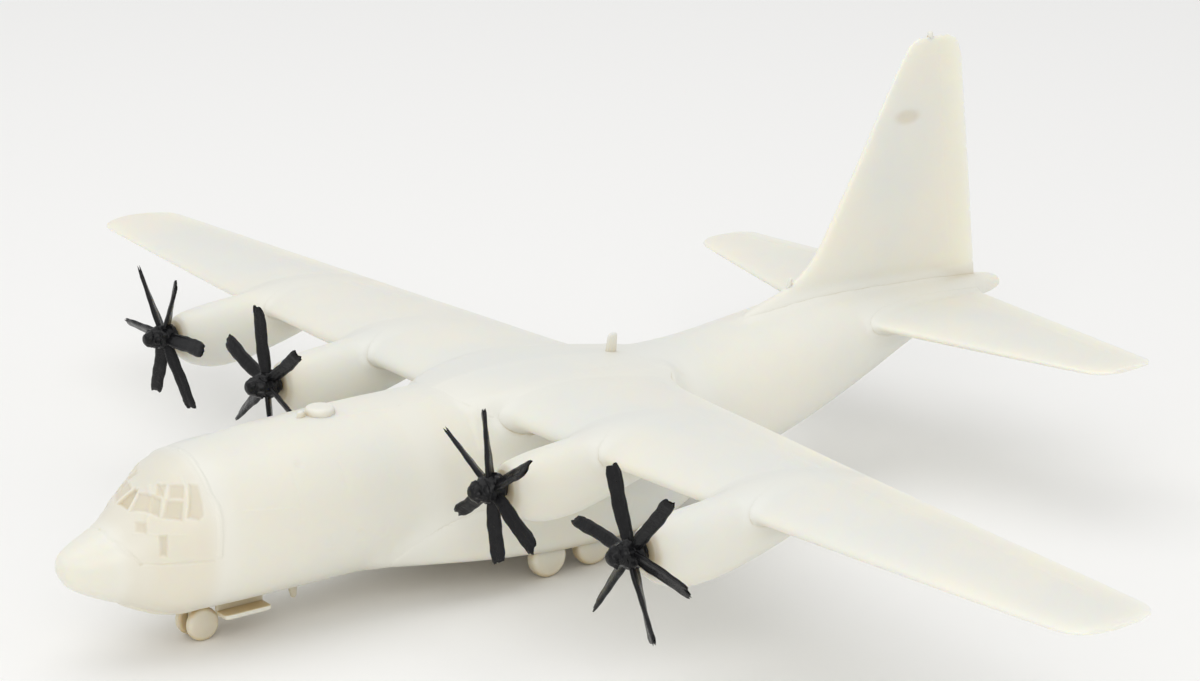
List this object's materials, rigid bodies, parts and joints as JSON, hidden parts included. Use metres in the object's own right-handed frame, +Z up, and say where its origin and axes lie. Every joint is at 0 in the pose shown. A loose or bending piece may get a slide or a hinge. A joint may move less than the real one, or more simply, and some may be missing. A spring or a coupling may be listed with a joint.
{
  "type": "scale model of a military transport plane",
  "caption": "High-wing turboprop transport plane as a small printed display model parked on its wheels, with propellers that spin on pins and wheels that roll.",
  "frame": {"origin": "on the floor under the middle of the bounding box, between nose and tail", "axes": "+X to the port wing tip, +Y aft, +Z up; the nose points to -Y"},
  "size_m": [0.2868, 0.2034, 0.0798],
  "materials": {
    "white_print": "satin, slightly translucent bone-white printed plastic",
    "black_print": "glossy black printed plastic with layer lines"
  },
  "bodies": {
    "airframe": {"belly_antenna": "white_print", "centre_fuselage": "white_print", "cockpit_section": "white_print", "dorsal_antenna": "white_print", "fin": "white_print", "fin_beacon": "white_print", "forward_fuselage": "white_print", "main_leg_front_port": "white_print", "main_leg_front_starboard": "white_print", "main_leg_rear_port": "white_print", "main_leg_rear_starboard": "white_print", "nacelle_port_inner": "white_print", "nacelle_port_outer": "white_print", "nacelle_starboard_inner": "white_print", "nacelle_starboard_outer": "white_print", "nose_gear_door_port": "white_print", "nose_gear_door_starboard": "white_print", "nose_leg": "white_print", "prop_pin_port_inner": "black_print", "prop_pin_port_outer": "black_print", "prop_pin_starboard_inner": "black_print", "prop_pin_starboard_outer": "black_print", "radome": "white_print", "rear_fuselage": "white_print", "roof_dome": "white_print", "roof_stub": "white_print", "sponson_port": "white_print", "sponson_starboard": "white_print", "tail_cone": "white_print", "tail_section": "white_print", "tailplane_port": "white_print", "tailplane_starboard": "white_print", "wing_fairing": "white_print", "wing_port": "white_print", "wing_starboard": "white_print"},
    "propeller_port_outer": {"propeller_port_outer": "black_print"},
    "propeller_port_inner": {"propeller_port_inner": "black_print"},
    "propeller_starboard_inner": {"propeller_starboard_inner": "black_print"},
    "propeller_starboard_outer": {"propeller_starboard_outer": "black_print"},
    "main_wheel_front_port": {"main_wheel_front_port": "white_print"},
    "main_wheel_front_starboard": {"main_wheel_front_starboard": "white_print"},
    "main_wheel_rear_port": {"main_wheel_rear_port": "white_print"},
    "main_wheel_rear_starboard": {"main_wheel_rear_starboard": "white_print"},
    "nose_wheels": {"nose_wheels": "white_print"}
  },
  "joints": [
    {"name": "port_outer_propeller_spin", "type": "hinge", "parent": "airframe", "child": "propeller_port_outer", "pos_m": [0.0719, -0.04163, 0.02769], "axis": [0, 0.9998, -0.0175], "continuous": true},
    {"name": "port_inner_propeller_spin", "type": "hinge", "parent": "airframe", "child": "propeller_port_inner", "pos_m": [0.0349, -0.04163, 0.02769], "axis": [0, 0.9998, -0.0175], "continuous": true},
    {"name": "starboard_inner_propeller_spin", "type": "hinge", "parent": "airframe", "child": "propeller_starboard_inner", "pos_m": [-0.0349, -0.04163, 0.02769], "axis": [0, 0.9998, -0.0175], "continuous": true},
    {"name": "starboard_outer_propeller_spin", "type": "hinge", "parent": "airframe", "child": "propeller_starboard_outer", "pos_m": [-0.0719, -0.04163, 0.02769], "axis": [0, 0.9998, -0.0175], "continuous": true},
    {"name": "main_wheel_front_port_roll", "type": "hinge", "parent": "airframe", "child": "main_wheel_front_port", "pos_m": [0.0139, -0.01625, 0.0036], "axis": [1, 0, 0], "continuous": true},
    {"name": "main_wheel_front_starboard_roll", "type": "hinge", "parent": "airframe", "child": "main_wheel_front_starboard", "pos_m": [-0.0139, -0.01625, 0.0036], "axis": [1, 0, 0], "continuous": true},
    {"name": "main_wheel_rear_port_roll", "type": "hinge", "parent": "airframe", "child": "main_wheel_rear_port", "pos_m": [0.0139, -0.00675, 0.0036], "axis": [1, 0, 0], "continuous": true},
    {"name": "main_wheel_rear_starboard_roll", "type": "hinge", "parent": "airframe", "child": "main_wheel_rear_starboard", "pos_m": [-0.0139, -0.00675, 0.0036], "axis": [1, 0, 0], "continuous": true},
    {"name": "nose_wheels_roll", "type": "hinge", "parent": "airframe", "child": "nose_wheels", "pos_m": [0, -0.07727, 0.0029], "axis": [1, 0, 0], "continuous": true}
  ]
}
